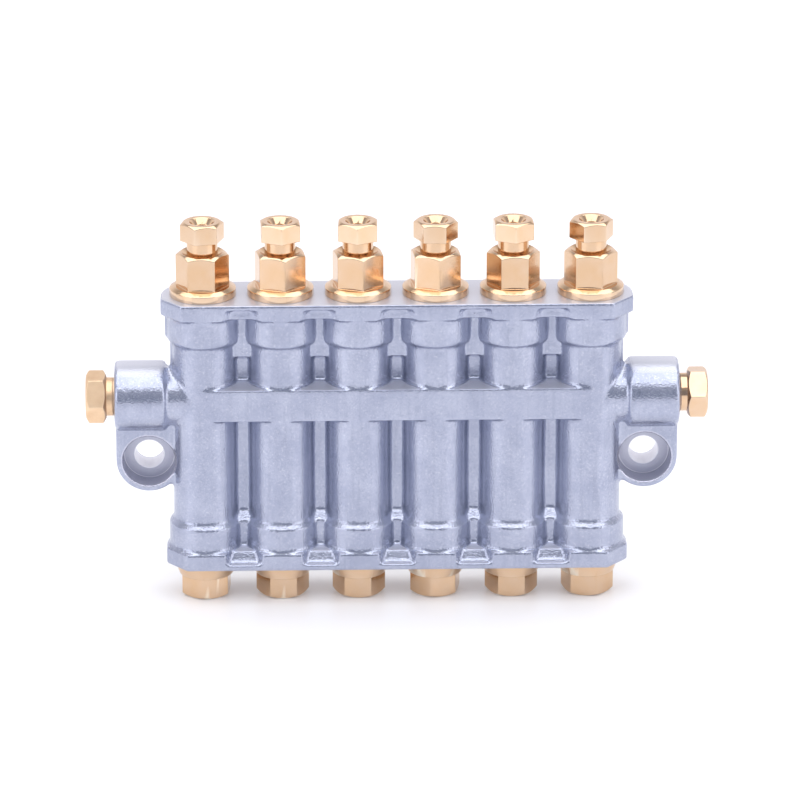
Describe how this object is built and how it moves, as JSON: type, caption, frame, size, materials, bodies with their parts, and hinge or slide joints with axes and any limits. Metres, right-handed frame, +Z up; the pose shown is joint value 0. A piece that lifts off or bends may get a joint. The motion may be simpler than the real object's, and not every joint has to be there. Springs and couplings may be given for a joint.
{
  "type": "lubricant divider block",
  "caption": "Single-line lubricant divider block: upright metering tubes in one die-cast manifold with a cross supply gallery, side lugs and brass outlet fittings.",
  "frame": {"origin": "midway between the two mounting holes, on the back face", "axes": "+X along the row of outlets, +Y into the machine behind, +Z up towards the outlets"},
  "size_m": [0.1612, 0.02, 0.1025],
  "materials": {
    "casting": "tumbled die casting",
    "fitting_brass": "polished",
    "core_brass": "turned",
    "ground_steel": "ground",
    "spring_steel": "drawn wire",
    "valve_rubber": "moulded",
    "seal_rubber": "moulded"
  },
  "bodies": {
    "block": {"manifold": "casting", "outlet_body_1": "fitting_brass", "tube_nut_1": "fitting_brass", "check_spring_1": "spring_steel", "valve_core_1": "core_brass", "piston_spring_1": "spring_steel", "bottom_plug_1": "fitting_brass", "outlet_body_2": "fitting_brass", "tube_nut_2": "fitting_brass", "check_spring_2": "spring_steel", "valve_core_2": "core_brass", "piston_spring_2": "spring_steel", "bottom_plug_2": "fitting_brass", "outlet_body_3": "fitting_brass", "tube_nut_3": "fitting_brass", "check_spring_3": "spring_steel", "valve_core_3": "core_brass", "piston_spring_3": "spring_steel", "bottom_plug_3": "fitting_brass", "outlet_body_4": "fitting_brass", "tube_nut_4": "fitting_brass", "check_spring_4": "spring_steel", "valve_core_4": "core_brass", "piston_spring_4": "spring_steel", "bottom_plug_4": "fitting_brass", "outlet_body_5": "fitting_brass", "tube_nut_5": "fitting_brass", "check_spring_5": "spring_steel", "valve_core_5": "core_brass", "piston_spring_5": "spring_steel", "bottom_plug_5": "fitting_brass", "outlet_body_6": "fitting_brass", "tube_nut_6": "fitting_brass", "check_spring_6": "spring_steel", "valve_core_6": "core_brass", "piston_spring_6": "spring_steel", "bottom_plug_6": "fitting_brass", "inlet_plug_left": "fitting_brass", "inlet_plug_right": "fitting_brass", "ferrules": "core_brass", "core_rings": "seal_rubber", "thread_seals": "seal_rubber"},
    "piston_1": {"metering_piston_1": "ground_steel"},
    "ball_1": {"check_ball_1": "ground_steel"},
    "valve_1": {"umbrella_valve_1": "valve_rubber"},
    "piston_2": {"metering_piston_2": "ground_steel"},
    "ball_2": {"check_ball_2": "ground_steel"},
    "valve_2": {"umbrella_valve_2": "valve_rubber"},
    "piston_3": {"metering_piston_3": "ground_steel"},
    "ball_3": {"check_ball_3": "ground_steel"},
    "valve_3": {"umbrella_valve_3": "valve_rubber"},
    "piston_4": {"metering_piston_4": "ground_steel"},
    "ball_4": {"check_ball_4": "ground_steel"},
    "valve_4": {"umbrella_valve_4": "valve_rubber"},
    "piston_5": {"metering_piston_5": "ground_steel"},
    "ball_5": {"check_ball_5": "ground_steel"},
    "valve_5": {"umbrella_valve_5": "valve_rubber"},
    "piston_6": {"metering_piston_6": "ground_steel"},
    "ball_6": {"check_ball_6": "ground_steel"},
    "valve_6": {"umbrella_valve_6": "valve_rubber"}
  },
  "joints": [
    {"name": "piston_slide_1", "type": "slide", "parent": "block", "child": "piston_1", "axis": [0, 0, -1], "range_m": [0, 0.004], "stiffness_N_per_m": 1500, "springref_m": -0.004, "deforming": ["piston_spring_1"]},
    {"name": "ball_lift_1", "type": "slide", "parent": "block", "child": "ball_1", "axis": [0, 0, 1], "range_m": [0, 0.0008], "stiffness_N_per_m": 200, "springref_m": -0.002, "deforming": ["check_spring_1"]},
    {"name": "valve_slide_1", "type": "slide", "parent": "block", "child": "valve_1", "axis": [0, 0, 1], "range_m": [0, 0.0012]},
    {"name": "piston_slide_2", "type": "slide", "parent": "block", "child": "piston_2", "axis": [0, 0, -1], "range_m": [0, 0.004], "stiffness_N_per_m": 1500, "springref_m": -0.004, "deforming": ["piston_spring_2"]},
    {"name": "ball_lift_2", "type": "slide", "parent": "block", "child": "ball_2", "axis": [0, 0, 1], "range_m": [0, 0.0008], "stiffness_N_per_m": 200, "springref_m": -0.002, "deforming": ["check_spring_2"]},
    {"name": "valve_slide_2", "type": "slide", "parent": "block", "child": "valve_2", "axis": [0, 0, 1], "range_m": [0, 0.0012]},
    {"name": "piston_slide_3", "type": "slide", "parent": "block", "child": "piston_3", "axis": [0, 0, -1], "range_m": [0, 0.004], "stiffness_N_per_m": 1500, "springref_m": -0.004, "deforming": ["piston_spring_3"]},
    {"name": "ball_lift_3", "type": "slide", "parent": "block", "child": "ball_3", "axis": [0, 0, 1], "range_m": [0, 0.0008], "stiffness_N_per_m": 200, "springref_m": -0.002, "deforming": ["check_spring_3"]},
    {"name": "valve_slide_3", "type": "slide", "parent": "block", "child": "valve_3", "axis": [0, 0, 1], "range_m": [0, 0.0012]},
    {"name": "piston_slide_4", "type": "slide", "parent": "block", "child": "piston_4", "axis": [0, 0, -1], "range_m": [0, 0.004], "stiffness_N_per_m": 1500, "springref_m": -0.004, "deforming": ["piston_spring_4"]},
    {"name": "ball_lift_4", "type": "slide", "parent": "block", "child": "ball_4", "axis": [0, 0, 1], "range_m": [0, 0.0008], "stiffness_N_per_m": 200, "springref_m": -0.002, "deforming": ["check_spring_4"]},
    {"name": "valve_slide_4", "type": "slide", "parent": "block", "child": "valve_4", "axis": [0, 0, 1], "range_m": [0, 0.0012]},
    {"name": "piston_slide_5", "type": "slide", "parent": "block", "child": "piston_5", "axis": [0, 0, -1], "range_m": [0, 0.004], "stiffness_N_per_m": 1500, "springref_m": -0.004, "deforming": ["piston_spring_5"]},
    {"name": "ball_lift_5", "type": "slide", "parent": "block", "child": "ball_5", "axis": [0, 0, 1], "range_m": [0, 0.0008], "stiffness_N_per_m": 200, "springref_m": -0.002, "deforming": ["check_spring_5"]},
    {"name": "valve_slide_5", "type": "slide", "parent": "block", "child": "valve_5", "axis": [0, 0, 1], "range_m": [0, 0.0012]},
    {"name": "piston_slide_6", "type": "slide", "parent": "block", "child": "piston_6", "axis": [0, 0, -1], "range_m": [0, 0.004], "stiffness_N_per_m": 1500, "springref_m": -0.004, "deforming": ["piston_spring_6"]},
    {"name": "ball_lift_6", "type": "slide", "parent": "block", "child": "ball_6", "axis": [0, 0, 1], "range_m": [0, 0.0008], "stiffness_N_per_m": 200, "springref_m": -0.002, "deforming": ["check_spring_6"]},
    {"name": "valve_slide_6", "type": "slide", "parent": "block", "child": "valve_6", "axis": [0, 0, 1], "range_m": [0, 0.0012]}
  ]
}
